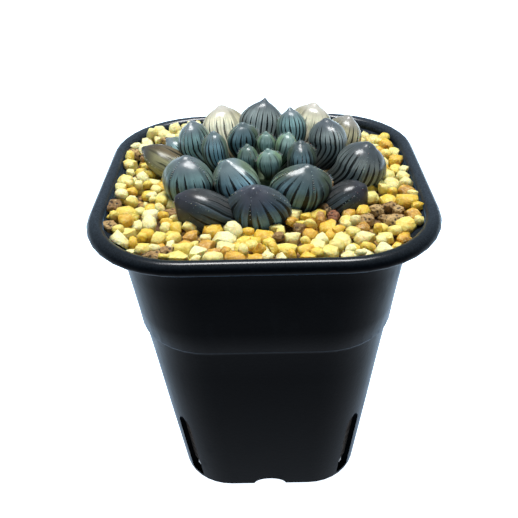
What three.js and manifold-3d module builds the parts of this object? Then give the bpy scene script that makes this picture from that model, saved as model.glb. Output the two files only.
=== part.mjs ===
// A small windowed haworthia in a rounded-square slit pot, with yellow gravel round its leaves.
// Millimetres, +Z up. The origin is under the middle of the pot, on the surface it stands on.
// -Y is the front, where the widest leaf of the rosette shows its keel.

import * as THREE from "three";
import { mergeVertices } from "three/addons/utils/BufferGeometryUtils.js";
import Module from "manifold-3d";

const wasm = await Module();
wasm.setup();

// Pot: half widths of its rounded squares, and heights
const rimHalf = 40;
const rimCorner = 23.1;
const beadRadius = 1.7;
const potHeight = 86.1;
const shoulderHalf = 33.9;
const shoulderCorner = 19.2;
const shoulderZ = 79.5;
const stepZ = 54.9;
const stepUpperHalf = 31.4;
const stepLowerHalf = 30.9;
const stepCorner = 17.9;
const baseHalf = 24.9;
const baseCorner = 14.1;
const potWall = 1.2;
const floorUnder = 3;
const floorTop = 4.4;
const cornerFacets = 6;

// Openings in the pot
const slitWidth = 4.6;
const slitFoot = 1.3;
const slitTop = 26;
const slitReach = 22;
const notchWidth = 9;
const notchHeight = 2.6;
const drainRadius = 4;
const sideDrainRadius = 2.2;
const sideDrainAt = 13;

// What the pot holds
const gap = 0.3;
const soilTop = 75;
const gravelUnder = soilTop + gap;
const gravelEdgeZ = 83.1;
const gravelMiddleZ = 81.3;
const gravelFlatShare = 0.8;
const heapMiddle = new THREE.Vector3(-25, 27, 81);
const heapSize = new THREE.Vector3(11, 10, 3.6);

// Gravel grains
const grainSeed = 2959;
const grainTries = 6000;
const grainSmallest = 1.95;
const grainLargest = 2.8;
const grainSpacing = 0.87;
const grainLift = 0.5;
const grainTilt = 0.5;
const cornerUp = Math.atan(2 / (1 + Math.sqrt(5)));
const grainEdge = 36.4;
const grainCorner = 20;
const bareMiddle = 13;
const leafClearance = 0.4;

// Rosette
const rosette = new THREE.Vector2(0.8, 2.5);
const stemRadius = 4.2;
const stemFoot = 62;
const stemTop = 86.5;
const leafSides = 10;
const bellyAt = 0.6;
const clawShare = 0.3;
const standShare = 1.2;
const domePower = 0.56;
const keelShare = 0.05;
const backShare = 0.54;
const footReach = 2;
const tipPoint = 0.25;
const leafStations = [0, 0.22, 0.42, 0.58, 0.72, 0.85, 0.94, 0.985];

// Each leaf, from the bud outwards: the middle of its widest part, its tip, its width and
// thickness, the turn of its keel in degrees, the height of its foot on the stem, and how
// pointed it is.
const leaves = [
  { belly: [1, 4.5, 92.4], tip: [1, 4.7, 94.9], size: [4.4, 4.2], turn: 0, foot: 87, point: 0.62 },
  { belly: [1.6, -1.5, 90.3], tip: [1.3, -1.6, 93.2], size: [6.2, 5], turn: 0, foot: 84.5, point: 0.66 },
  { belly: [-3.3, 1.5, 90], tip: [-3.6, 1.7, 93], size: [5.8, 5], turn: 0, foot: 84.5, point: 0.62 },
  { belly: [6, 7, 90.5], tip: [6.7, 7.4, 93.4], size: [6, 5], turn: 0, foot: 84.5, point: 0.66 },
  { belly: [9.3, 3, 88.7], tip: [9.4, 3.2, 93], size: [10.2, 7], turn: 0, foot: 82, point: 0.68 },
  { belly: [-4.9, 12, 90.2], tip: [-4.9, 12, 94.4], size: [8.8, 7], turn: 0, foot: 82, point: 0.64 },
  { belly: [-11.6, 6, 90], tip: [-12, 6.4, 94.6], size: [7.2, 6.5], turn: 10, foot: 81, point: 0.64 },
  { belly: [-6.2, -6, 88], tip: [-8.3, -6.8, 92.9], size: [15.2, 9.5], turn: -15, foot: 80, point: 0.84 },
  { belly: [7.7, 16.5, 91.2], tip: [7.4, 18, 95.8], size: [8.2, 7.5], turn: 0, foot: 80, point: 0.72 },
  { belly: [-17.4, 12, 89.6], tip: [-18, 12.6, 94.8], size: [10, 8], turn: 0, foot: 79, point: 0.5 },
  { belly: [16.5, 10, 90.4], tip: [16.2, 11, 95.4], size: [12.6, 9], turn: 0, foot: 79, point: 0.64 },
  { belly: [0, 21, 90.8], tip: [0.9, 23.2, 96.6], size: [12.2, 9], turn: 0, foot: 79, point: 0.92 },
  { belly: [-17.8, -5, 87.6], tip: [-18.1, -5.1, 93.5], size: [14, 11], turn: 30, foot: 78, point: 0.7 },
  { belly: [9, -9, 87.2], tip: [10.6, -9.9, 92.7], size: [16, 10], turn: -15, foot: 78, point: 0.8 },
  { belly: [-1, -15.2, 85.3], tip: [-2.2, -17.7, 91.3], size: [15.2, 9.5], turn: -8, foot: 77.5, point: 0.74 },
  { belly: [23.8, 1.5, 87], tip: [26, 1.8, 92.6], size: [13, 12.6], turn: 0, foot: 77.5, point: 0.58 },
  { belly: [-10, 22, 89], tip: [-11, 25, 94.2], size: [13, 9], turn: 0, foot: 77.5, point: 0.6 },
  { belly: [12.9, 22.5, 89.3], tip: [14.2, 24, 94.6], size: [13.2, 9], turn: 0, foot: 77.5, point: 0.62 },
  { belly: [19.6, -8.8, 83.2], tip: [23.8, -9.8, 87.1], size: [11, 9.4], turn: 0, foot: 77, point: 0.6 },
  { belly: [-13, -14.2, 84.1], tip: [-19.6, -15.3, 88.3], size: [13, 10.4], turn: 0, foot: 77, point: 0.74 },
  { belly: [-23.8, 8.5, 85.6], tip: [-31, 11.2, 88.6], size: [10.5, 7.9], turn: 0, foot: 77, point: 0.78 },
  { belly: [21.2, 17.5, 88], tip: [23, 18.5, 93], size: [11.8, 8.4], turn: 0, foot: 77, point: 0.6 },
  { belly: [-21.5, 13, 86.8], tip: [-24.8, 14, 89.8], size: [8, 6], turn: 0, foot: 77, point: 0.7 },
  { belly: [1, 25, 84.5], tip: [1, 29, 88.5], size: [12, 8], turn: 0, foot: 77, point: 0.7 },
  { belly: [-17, 19.5, 84.5], tip: [-19, 22.5, 88.5], size: [10, 7], turn: 0, foot: 77, point: 0.7 },
];

// Closed solids

function solidOf(geometry) {
  const bare = new THREE.BufferGeometry();
  bare.setAttribute("position", geometry.getAttribute("position"));
  bare.setIndex(geometry.getIndex());
  const merged = mergeVertices(bare, 1e-4);
  const mesh = new wasm.Mesh({
    numProp: 3,
    vertProperties: merged.attributes.position.array,
    triVerts: new Uint32Array(merged.index.array),
  });
  return new wasm.Manifold(mesh);
}

function geometryOf(solid) {
  const mesh = solid.getMesh();
  const geometry = new THREE.BufferGeometry();
  geometry.setAttribute("position", new THREE.BufferAttribute(mesh.vertProperties, 3));
  geometry.setIndex(new THREE.BufferAttribute(mesh.triVerts, 1));
  return geometry.toNonIndexed();
}

function largestBody(solid) {
  const bodies = solid.decompose();
  bodies.sort((a, b) => b.volume() - a.volume());
  return bodies[0];
}

// Joins neighbours in pairs, and then the pairs, until one solid is left.
function unionOf(solids) {
  if (solids.length === 1) return solids[0];
  const half = Math.ceil(solids.length / 2);
  return unionOf(solids.slice(0, half)).add(unionOf(solids.slice(half)));
}

function middleOf(ring) {
  const sum = ring.reduce((total, point) => total.add(point), new THREE.Vector3());
  return sum.divideScalar(ring.length);
}

// A skin over rings that all have the same number of points. A fan closes each end.
function loft(rings, endPoint = middleOf(rings[rings.length - 1])) {
  const sides = rings[0].length;
  const positions = [];
  const index = [];
  rings.forEach((ring) => ring.forEach((point) => positions.push(...point.toArray())));
  for (let r = 0; r < rings.length - 1; r += 1) {
    for (let i = 0; i < sides; i += 1) {
      const a = r * sides + i;
      const b = r * sides + ((i + 1) % sides);
      index.push(a, b, b + sides, a, b + sides, a + sides);
    }
  }
  const first = positions.length / 3;
  const last = first + 1;
  const lastRing = (rings.length - 1) * sides;
  positions.push(...middleOf(rings[0]).toArray(), ...endPoint.toArray());
  for (let i = 0; i < sides; i += 1) {
    const next = (i + 1) % sides;
    index.push(first, next, i, last, lastRing + i, lastRing + next);
  }
  const geometry = new THREE.BufferGeometry();
  geometry.setAttribute("position", new THREE.Float32BufferAttribute(positions, 3));
  geometry.setIndex(index);
  return geometry;
}

// A rounded square at height z, anticlockwise from the +X side.
function squareRing(half, corner, z) {
  const ring = [];
  for (let quarter = 0; quarter < 4; quarter += 1) {
    const turn = (quarter * Math.PI) / 2;
    for (let i = 0; i <= cornerFacets; i += 1) {
      const angle = (i / cornerFacets) * (Math.PI / 2);
      const x = half - corner + corner * Math.cos(angle);
      const y = half - corner + corner * Math.sin(angle);
      const point = new THREE.Vector3(x, y, z);
      ring.push(point.applyAxisAngle(new THREE.Vector3(0, 0, 1), turn));
    }
  }
  return ring;
}

// A circle with as many points as a rounded square, its points facing the square's.
function circleRing(radius, z) {
  return squareRing(rimHalf, rimCorner, z).map((point) => {
    const angle = Math.atan2(point.y, point.x);
    const x = rosette.x + radius * Math.cos(angle);
    const y = rosette.y + radius * Math.sin(angle);
    return new THREE.Vector3(x, y, z);
  });
}

// Pot

// Corner radius of the wall's outside at a given half width, from base to rim.
function cornerAt(half) {
  const widths = [baseHalf, stepLowerHalf, shoulderHalf, rimHalf];
  const corners = [baseCorner, stepCorner, shoulderCorner, rimCorner];
  let i = 0;
  while (i < widths.length - 2 && half > widths[i + 1]) i += 1;
  const share = (half - widths[i]) / (widths[i + 1] - widths[i]);
  return corners[i] + (corners[i + 1] - corners[i]) * share;
}

const outerWall = [
  [baseHalf, 0],
  [stepLowerHalf, stepZ],
  [stepUpperHalf, stepZ + 0.4],
  [shoulderHalf, shoulderZ],
  [35.2, 81.6],
  [36.9, 83.2],
];
const innerWall = [
  [35.3, 83.0],
  [34.0, 81.9],
  [32.7, shoulderZ],
  [stepUpperHalf - potWall, stepZ + 0.9],
  [stepLowerHalf - potWall, stepZ + 0.4],
  [baseHalf - potWall + 0.5, floorTop],
];

function beadRings() {
  const rings = [];
  const middleHalf = rimHalf - beadRadius;
  const middleZ = potHeight - beadRadius;
  for (let degrees = -100; degrees <= 200; degrees += 37.5) {
    const angle = THREE.MathUtils.degToRad(degrees);
    const half = middleHalf + beadRadius * Math.cos(angle);
    const corner = rimCorner - beadRadius + beadRadius * Math.cos(angle);
    rings.push(squareRing(half, corner, middleZ + beadRadius * Math.sin(angle)));
  }
  return rings;
}

function innerRing([half, z], clearance = 0) {
  const corner = cornerAt(half + potWall) - potWall;
  return squareRing(half - clearance, corner - clearance, z);
}

function potBody() {
  const footHalf = baseHalf - 1.6;
  const rings = [
    squareRing(footHalf, baseCorner - 1.6, floorUnder),
    squareRing(footHalf, baseCorner - 1.6, 0),
    ...outerWall.map(([half, z]) => squareRing(half, cornerAt(half), z)),
    ...beadRings(),
    ...innerWall.map((station) => innerRing(station)),
  ];
  return solidOf(loft(rings));
}

// A pointed arch cut out through a corner, from the wall's foot up.
function cornerSlit(quarter) {
  const outline = new THREE.Shape();
  outline.moveTo(-slitWidth / 2, slitFoot);
  outline.lineTo(slitWidth / 2, slitFoot);
  outline.lineTo(slitWidth / 2, slitTop - slitWidth);
  outline.quadraticCurveTo(slitWidth / 2, slitTop - slitWidth / 3, 0, slitTop);
  outline.quadraticCurveTo(-slitWidth / 2, slitTop - slitWidth / 3, -slitWidth / 2, slitTop - slitWidth);
  const cutter = new THREE.ExtrudeGeometry(outline, {
    depth: 20,
    bevelEnabled: false,
    curveSegments: 4,
  });
  cutter.translate(0, 0, slitReach);
  cutter.rotateX(Math.PI / 2);
  cutter.rotateZ(Math.PI / 4 + (quarter * Math.PI) / 2);
  return solidOf(cutter);
}

// A low arch across the pot, which notches the bottom edge of two opposite sides.
function footNotch(turned) {
  const outline = new THREE.Shape();
  outline.moveTo(-notchWidth / 2, -1);
  outline.lineTo(notchWidth / 2, -1);
  outline.lineTo(notchWidth / 2, 0);
  outline.absellipse(0, 0, notchWidth / 2, notchHeight, 0, Math.PI, false);
  const cutter = new THREE.ExtrudeGeometry(outline, {
    depth: 2 * rimHalf,
    bevelEnabled: false,
    curveSegments: 8,
  });
  cutter.translate(0, 0, -rimHalf);
  cutter.rotateX(Math.PI / 2);
  cutter.rotateZ(turned ? Math.PI / 2 : 0);
  return solidOf(cutter);
}

function drainHole(x, y, radius) {
  const cutter = new THREE.CylinderGeometry(radius, radius, 4, 16);
  cutter.rotateX(Math.PI / 2);
  cutter.translate(x, y, (floorUnder + floorTop) / 2);
  return solidOf(cutter);
}

function pot() {
  const cutters = [
    ...[0, 1, 2, 3].map(cornerSlit),
    footNotch(false),
    footNotch(true),
    drainHole(0, 0, drainRadius),
    drainHole(sideDrainAt, 0, sideDrainRadius),
    drainHole(-sideDrainAt, 0, sideDrainRadius),
    drainHole(0, sideDrainAt, sideDrainRadius),
    drainHole(0, -sideDrainAt, sideDrainRadius),
  ];
  return potBody().subtract(unionOf(cutters));
}

// Stem and leaves

function stemSolid(swell) {
  const profile = [
    new THREE.Vector2(0, stemFoot - swell),
    new THREE.Vector2(2.4 + swell, stemFoot - swell),
    new THREE.Vector2(stemRadius + swell, stemFoot + 7),
    new THREE.Vector2(stemRadius + swell, stemTop - 4.5),
    new THREE.Vector2(stemRadius - 1 + swell, stemTop - 1.6),
    new THREE.Vector2(1.6 + swell, stemTop + swell),
    new THREE.Vector2(0, stemTop + swell),
  ];
  const stem = new THREE.LatheGeometry(profile, 14);
  stem.rotateX(Math.PI / 2);
  stem.translate(rosette.x, rosette.y, 0);
  return solidOf(stem);
}

// Size of a leaf at a share of its length, against its largest: a narrow claw, a belly, and an
// end that is more pointed the greater its power.
function leafOutline(share, power) {
  if (share < bellyAt) {
    return clawShare + (1 - clawShare) * THREE.MathUtils.smoothstep(share, 0, bellyAt);
  }
  const beyond = (share - bellyAt) / (1 - bellyAt);
  return (1 - beyond ** 2) ** power;
}

// A leaf, or with a swell the space that its neighbours leave round it.
function leafSolid(leaf, swell = 0) {
  const belly = new THREE.Vector3(...leaf.belly);
  const tip = new THREE.Vector3(...leaf.tip);
  const facing = Math.atan2(belly.y - rosette.y, belly.x - rosette.x);
  const outward = new THREE.Vector3(Math.cos(facing), Math.sin(facing), 0);
  const level = new THREE.Vector3(-Math.sin(facing), Math.cos(facing), 0);
  const foot = new THREE.Vector3(rosette.x, rosette.y, leaf.foot);
  foot.addScaledVector(outward, footReach);
  // The midrib runs outwards from its foot, bends up to the belly, and is straight from there.
  const rise = tip.clone().sub(belly);
  const bend = belly.clone().addScaledVector(rise, -standShare);
  const midrib = new THREE.QuadraticBezierCurve3(foot, bend, belly);
  const [width, depth] = leaf.size;
  const turn = THREE.MathUtils.degToRad(leaf.turn);

  const rings = leafStations.map((share) => {
    const part = Math.min(share / bellyAt, 1);
    const beyond = Math.max((share - bellyAt) / (1 - bellyAt), 0);
    const middle = midrib.getPoint(part).addScaledVector(rise, beyond);
    const along = midrib.getTangent(part);
    const back = level.clone().cross(along).normalize();
    const side = back.clone().cross(along);
    const wide = side.clone().multiplyScalar(Math.cos(turn)).addScaledVector(back, Math.sin(turn));
    const deep = back.clone().multiplyScalar(Math.cos(turn)).addScaledVector(side, -Math.sin(turn));
    const across = width * leafOutline(share, leaf.point);
    const through = depth * leafOutline(share, domePower);
    const ring = [];
    for (let i = 0; i < leafSides; i += 1) {
      const angle = Math.PI / 2 + (i / leafSides) * 2 * Math.PI;
      const sine = Math.sin(angle);
      const thick = through * (sine > 0 ? backShare : 1 - backShare) + swell;
      const keel = i === 0 ? keelShare * across : 0;
      const point = middle.clone();
      point.addScaledVector(wide, (across / 2 + swell) * Math.cos(angle));
      ring.push(point.addScaledVector(deep, thick * sine + keel));
    }
    return ring;
  });
  const point = tip.clone().addScaledVector(midrib.getTangent(1), tipPoint + swell);
  return solidOf(loft(rings, point));
}

// Where leaves press on each other, the outer one gives way to the inner one.
function rosetteSolids(stemSpace) {
  const spaces = leaves.map((leaf) => leafSolid(leaf, gap));
  return leaves.map((leaf, i) => {
    const inner = unionOf([stemSpace, ...spaces.slice(0, i)]);
    return largestBody(leafSolid(leaf).subtract(inner));
  });
}

// Soil and gravel

// The space inside the pot's wall, open upwards past the rim.
function potSpace() {
  const inside = innerWall.slice().reverse();
  const mouthHalf = rimHalf - 2 * beadRadius;
  const stations = [
    [inside[0][0], floorTop + gap],
    ...inside.slice(1),
    [mouthHalf, potHeight - beadRadius],
    [mouthHalf, 1.5 * potHeight],
  ];
  return solidOf(loft(stations.map((station) => innerRing(station, gap))));
}

function slab(bottomZ, topZ) {
  const size = 2 * rimHalf;
  const box = new THREE.BoxGeometry(size, size, topZ - bottomZ);
  box.translate(0, 0, (bottomZ + topZ) / 2);
  return solidOf(box);
}

function gravelBed() {
  const rings = [
    squareRing(rimHalf, rimCorner, gravelUnder),
    squareRing(rimHalf, rimCorner, gravelEdgeZ),
    squareRing(grainEdge, grainCorner, gravelEdgeZ),
    squareRing(grainEdge * gravelFlatShare, grainCorner * gravelFlatShare, gravelMiddleZ),
  ];
  const heap = new THREE.SphereGeometry(1, 16, 8);
  heap.scale(heapSize.x, heapSize.y, heapSize.z);
  heap.translate(heapMiddle.x, heapMiddle.y, heapMiddle.z);
  return solidOf(loft(rings)).add(solidOf(heap));
}

// A plain generator of numbers from 0 to 1 that gives the same row for the same seed.
function randomRow(seed) {
  let state = seed;
  return () => {
    state = (state * 48271) % 2147483647;
    return state / 2147483647;
  };
}

// Height of the bed: flat round the plant, rising to the rim, and heaped in the back left corner.
function bedHeight(x, y) {
  const share = Math.max(Math.abs(x), Math.abs(y)) / grainEdge;
  const rise = Math.max(share - gravelFlatShare, 0) / (1 - gravelFlatShare);
  const bed = gravelMiddleZ + (gravelEdgeZ - gravelMiddleZ) * rise;
  const reach = Math.hypot((x - heapMiddle.x) / heapSize.x, (y - heapMiddle.y) / heapSize.y);
  const heap = heapMiddle.z + heapSize.z * Math.sqrt(Math.max(1 - reach ** 2, 0));
  return Math.max(bed, heap);
}

// True where a grain of a given radius would stand clear of the leaves and the stem.
function clearOfLeaves(x, y, radius) {
  if (Math.hypot(x - rosette.x, y - rosette.y) < bareMiddle) return false;
  const place = new THREE.Vector3(x, y, bedHeight(x, y) + grainLift * radius);
  return leaves.every((leaf) => {
    const belly = new THREE.Vector3(...leaf.belly);
    return place.distanceTo(belly) > leafClearance * leaf.size[0] + radius * 0.5;
  });
}

function insideEdge(x, y, radius) {
  const half = grainEdge - radius / 2;
  const corner = grainCorner - radius / 2;
  const overX = Math.max(Math.abs(x) - (half - corner), 0);
  const overY = Math.max(Math.abs(y) - (half - corner), 0);
  return Math.hypot(overX, overY) < corner;
}

// Grains are thrown at random, and one stays where it finds room among those before it.
function grainPlaces() {
  const random = randomRow(grainSeed);
  const places = [];
  for (let i = 0; i < grainTries; i += 1) {
    const x = (2 * random() - 1) * grainEdge;
    const y = (2 * random() - 1) * grainEdge;
    const radius = grainSmallest + (grainLargest - grainSmallest) * random();
    const room = places.every(
      (other) => Math.hypot(x - other.x, y - other.y) > grainSpacing * (radius + other.radius),
    );
    if (room && insideEdge(x, y, radius) && clearOfLeaves(x, y, radius)) {
      places.push({ x, y, radius });
    }
  }
  return places;
}

function grain({ x, y, radius }, random) {
  const stone = new THREE.IcosahedronGeometry(radius, 0);
  stone.rotateX(cornerUp);
  stone.scale(0.9 + 0.3 * random(), 0.9 + 0.2 * random(), 0.8 + 0.2 * random());
  stone.rotateZ(random() * 2 * Math.PI);
  stone.rotateX((random() - 0.5) * grainTilt);
  stone.translate(x, y, bedHeight(x, y) + grainLift * radius);
  return solidOf(stone);
}

function gravel(taken) {
  const random = randomRow(grainSeed + 1);
  const grains = grainPlaces().map((place) => grain(place, random));
  const heap = unionOf([gravelBed(), ...grains]);
  return largestBody(heap.intersect(potSpace()).subtract(taken));
}

// The whole plant in its pot

function named(name, solid, colour, roughness) {
  const material = new THREE.MeshStandardMaterial({ color: colour, roughness, metalness: 0 });
  const mesh = new THREE.Mesh(geometryOf(solid), material);
  mesh.name = name;
  return mesh;
}

const plant = new THREE.Group();
const stemSpace = stemSolid(gap);
const leafSpaces = unionOf(leaves.map((leaf) => leafSolid(leaf, gap)));
plant.add(named("pot", pot(), 0x1b1e22, 0.45));
plant.add(named("soil", potSpace().intersect(slab(0, soilTop)).subtract(stemSpace), 0x2e241c, 0.95));
plant.add(named("gravel", gravel(stemSpace.add(leafSpaces)), 0xe3cf86, 0.8));
plant.add(named("stem", stemSolid(0), 0x9a8f6a, 0.7));
rosetteSolids(stemSpace).forEach((solid, i) => {
  const name = "leaf_" + String(i + 1).padStart(2, "0");
  plant.add(named(name, solid, 0x5c6f70, 0.3));
});

export default plant;
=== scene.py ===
# A small windowed haworthia in a black slit pot. In metres, with the front at -Y.
import math

import bpy
from mathutils import Matrix, Vector


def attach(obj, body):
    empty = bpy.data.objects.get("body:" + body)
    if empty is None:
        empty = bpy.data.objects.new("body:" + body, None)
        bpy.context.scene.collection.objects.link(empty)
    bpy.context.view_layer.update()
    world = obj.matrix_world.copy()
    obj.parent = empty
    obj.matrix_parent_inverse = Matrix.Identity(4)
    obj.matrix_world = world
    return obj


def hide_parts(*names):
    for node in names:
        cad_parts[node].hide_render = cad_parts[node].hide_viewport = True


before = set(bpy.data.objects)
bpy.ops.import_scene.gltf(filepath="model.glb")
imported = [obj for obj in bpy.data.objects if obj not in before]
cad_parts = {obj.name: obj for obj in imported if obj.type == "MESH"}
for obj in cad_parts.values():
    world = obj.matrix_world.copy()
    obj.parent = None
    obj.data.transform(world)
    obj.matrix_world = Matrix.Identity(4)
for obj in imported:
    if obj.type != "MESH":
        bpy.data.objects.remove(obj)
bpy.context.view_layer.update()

mm = 0.001
scene = bpy.context.scene
print("frame loaded:", len(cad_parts), "nodes")

# The camera comes first
view = {"place": (1.09, -152.44, 162.40), "turn": (56.33, 1.51, 0.01), "lens": 47.54}
bpy.ops.object.camera_add(
    location=[value * mm for value in view["place"]],
    rotation=[math.radians(value) for value in view["turn"]],
)
camera = bpy.context.object
camera.data.lens = view["lens"]
camera.data.clip_start = 0.005
scene.camera = camera
print("camera set")


# One socket of a material, with Python's operators for its maths
class Wire:
    def __init__(self, finish, socket):
        self.finish = finish
        self.socket = socket

    def maths(self, operation, *values):
        return self.finish.add("ShaderNodeMath", {"operation": operation}, dict(enumerate(values)))

    def __add__(self, other):
        return self.maths("ADD", self, other)

    def __radd__(self, other):
        return self.maths("ADD", other, self)

    def __sub__(self, other):
        return self.maths("SUBTRACT", self, other)

    def __rsub__(self, other):
        return self.maths("SUBTRACT", other, self)

    def __mul__(self, other):
        return self.maths("MULTIPLY", self, other)

    def __rmul__(self, other):
        return self.maths("MULTIPLY", other, self)

    def __truediv__(self, other):
        return self.maths("DIVIDE", self, other)

    def __gt__(self, other):
        return self.maths("GREATER_THAN", self, other)

    def __pow__(self, other):
        return self.maths("POWER", self, other)

    def __abs__(self):
        return self.maths("ABSOLUTE", self)

    def floor(self):
        return self.maths("FLOOR", self)

    def fract(self):
        return self.maths("FRACT", self)

    # 0 at one value and 1 at the other, with soft ends
    def fade(self, start, end):
        inputs = {"Value": self, "From Min": start, "From Max": end}
        return self.finish.add("ShaderNodeMapRange", {"interpolation_type": "SMOOTHSTEP"}, inputs)


# A material under construction
class Finish:
    def __init__(self, name):
        self.material = bpy.data.materials.new(name)
        self.material.use_nodes = True
        self.tree = self.material.node_tree
        self.skin = self.tree.nodes["Principled BSDF"]

    def feed(self, socket, value):
        if isinstance(value, Wire):
            self.tree.links.new(value.socket, socket)
        elif isinstance(value, tuple) and socket.type == "RGBA":
            socket.default_value = (*value, 1)
        else:
            socket.default_value = value

    def add(self, kind, settings=None, inputs=None, output=0):
        node = self.tree.nodes.new(kind)
        for name, value in (settings or {}).items():
            if name == "stops":
                ramp = node.color_ramp.elements
                while len(ramp) < len(value):
                    ramp.new(0.5)
                for stop, (place, colour) in zip(ramp, value):
                    stop.position = place
                    stop.color = (*colour, 1)
            else:
                setattr(node, name, value)
        for name, value in (inputs or {}).items():
            self.feed(node.inputs[name], value)
        return Wire(self, node.outputs[output])

    def place(self):
        return self.add("ShaderNodeTexCoord", output="Object")

    def attribute(self, name, output="Fac"):
        return self.add("ShaderNodeAttribute", {"attribute_name": name}, output=output)

    def split(self, vector):
        first = self.add("ShaderNodeSeparateXYZ", inputs={0: vector})
        return [Wire(self, socket) for socket in first.socket.node.outputs]

    def join(self, x, y, z):
        return self.add("ShaderNodeCombineXYZ", inputs={0: x, 1: y, 2: z})

    def cloud(self, vector, scale, detail=2.0, roughness=0.5):
        inputs = {"Vector": vector, "Scale": scale, "Detail": detail, "Roughness": roughness}
        return self.add("ShaderNodeTexNoise", inputs=inputs)

    def cells(self, vector, scale):
        return self.add("ShaderNodeTexVoronoi", inputs={"Vector": vector, "Scale": scale})

    def chance(self, number):
        return self.add("ShaderNodeTexWhiteNoise", {"noise_dimensions": "1D"}, {"W": number})

    def blend(self, factor, first, second, kind="MIX"):
        settings = {"data_type": "RGBA", "blend_type": kind}
        return self.add("ShaderNodeMix", settings, {0: factor, 6: first, 7: second}, output=2)

    def bump(self, height, distance, strength):
        inputs = {"Height": height, "Distance": distance, "Strength": strength}
        return self.add("ShaderNodeBump", inputs=inputs)

    def set(self, values):
        for name, value in values.items():
            self.feed(self.skin.inputs[name], value)
        return self.material


# Modelling helpers
def deselect():
    if bpy.context.object and bpy.context.object.mode != "OBJECT":
        bpy.ops.object.mode_set(mode="OBJECT")
    bpy.ops.object.select_all(action="DESELECT")


def takeUp(piece):
    deselect()
    bpy.context.view_layer.objects.active = piece
    piece.select_set(True)


def edit(select="SELECT"):
    bpy.ops.object.mode_set(mode="EDIT")
    bpy.ops.mesh.select_all(action=select)


def leaveEdit():
    bpy.ops.object.mode_set(mode="OBJECT")


def applyAll(piece):
    takeUp(piece)
    for modifier in list(piece.modifiers):
        bpy.ops.object.modifier_apply(modifier=modifier.name)


def setPlace(piece):
    takeUp(piece)
    bpy.ops.object.transform_apply(location=True, rotation=True, scale=True)


def copyOf(piece, matrix):
    copy = piece.copy()
    copy.data = piece.data.copy()
    copy.matrix_world = matrix
    scene.collection.objects.link(copy)
    return copy


def joined(pieces, name):
    deselect()
    for piece in pieces:
        piece.select_set(True)
    bpy.context.view_layer.objects.active = pieces[0]
    bpy.ops.object.join()
    whole = bpy.context.object
    whole.name = name
    setPlace(whole)
    return whole


def smooth(piece, degrees):
    takeUp(piece)
    bpy.ops.object.shade_smooth_by_angle(angle=math.radians(degrees))


def discard(piece):
    bpy.data.objects.remove(piece)


def finishPiece(piece, material, nodes):
    piece.data.materials.clear()
    piece.data.materials.append(material)
    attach(piece, "root")
    if nodes:
        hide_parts(*nodes)


# The same row of numbers from 0 to 1 for the same seed
def randomRow(seed):
    state = [seed]

    def draw():
        state[0] = (state[0] * 48271) % 2147483647
        return state[0] / 2147483647

    return draw


# A value from its start and its growth, as far along as the share says
def mixed(pair, share):
    return pair[0] + pair[1] * share


# Pot
pot = {
    "footHalf": 23.3,
    "footCorner": 13.2,
    "cornerSteps": 9,
    "underside": 3.0,
    "wall": [
        (23.3, 0.3), (23.55, 0.0), (24.6, 0.0), (24.9, 0.35), (25.8, 8.5), (26.8, 17.5),
        (27.8, 26.5), (28.8, 36.0), (29.8, 45.5), (30.8, 54.3), (30.95, 54.9), (31.2, 55.2),
        (31.45, 55.6), (32.0, 61.5), (32.7, 68.0), (33.4, 74.5), (33.9, 79.2), (34.2, 80.1),
        (34.7, 81.0), (35.35, 81.8), (36.1, 82.5), (36.8, 82.95),
    ],
    "beadHalf": 38.3,
    "beadHeight": 84.4,
    "beadRadius": 1.7,
    "beadTurns": range(-80, 201, 20),
    "inside": [
        (35.3, 83.1), (34.6, 82.6), (34.0, 81.9), (33.1, 80.7), (32.7, 79.5), (31.4, 67.5),
        (30.2, 55.8), (29.7, 55.3), (27.0, 30.0), (24.2, 4.4),
    ],
    "slitTurns": (45, 135, 225, 315),
    "slitWidth": 4.6,
    "slitFoot": 1.3,
    "slitShoulder": 21.4,
    "slitTop": 26.0,
    "slitReach": 22.0,
    "slitDepth": 20,
    # Shares of the arch's rise and of the slit's width
    "slitArch": [(0.35, 0.94), (0.6, 0.78), (0.82, 0.5), (1.0, 0.04)],
    "notchWidth": 9.0,
    "notchHeight": 2.6,
    "notchLength": 80,
    "drains": [(0, 0, 4.0), (13, 0, 2.2), (-13, 0, 2.2), (0, 13, 2.2), (0, -13, 2.2)],
    "drainMiddle": 3.7,
    "drainDepth": 4,
    "rimFrom": 79,
    "smooth": 32,
}


# Carries the open edge on to its next half width and height
def growEdge(here, there):
    rise = (0, 0, (there[1] - here[1]) * mm)
    bpy.ops.mesh.extrude_edges_move(TRANSFORM_OT_translate={"value": rise})
    wider = there[0] / here[0]
    bpy.ops.transform.resize(value=(wider, wider, 1), center_override=(0, 0, 0))


def potBody():
    deselect()
    half = pot["footHalf"]
    bpy.ops.mesh.primitive_plane_add(size=2 * half * mm, location=(0, 0, pot["underside"] * mm))
    body = bpy.context.object
    setPlace(body)
    edit()
    corner = pot["footCorner"] * mm
    bpy.ops.mesh.bevel(offset=corner, segments=pot["cornerSteps"], affect="VERTICES")
    bpy.ops.mesh.select_all(action="SELECT")
    bpy.ops.mesh.flip_normals()
    bpy.ops.mesh.select_mode(type="EDGE")
    bpy.ops.mesh.select_all(action="SELECT")
    bead = []
    for degrees in pot["beadTurns"]:
        angle = math.radians(degrees)
        bead.append((
            pot["beadHalf"] + pot["beadRadius"] * math.cos(angle),
            pot["beadHeight"] + pot["beadRadius"] * math.sin(angle),
        ))
    here = (half, pot["underside"])
    for there in pot["wall"] + bead + pot["inside"]:
        growEdge(here, there)
        here = there
    bpy.ops.mesh.edge_face_add()
    bpy.ops.mesh.select_all(action="SELECT")
    bpy.ops.mesh.normals_make_consistent(inside=False)
    leaveEdit()
    return body


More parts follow.
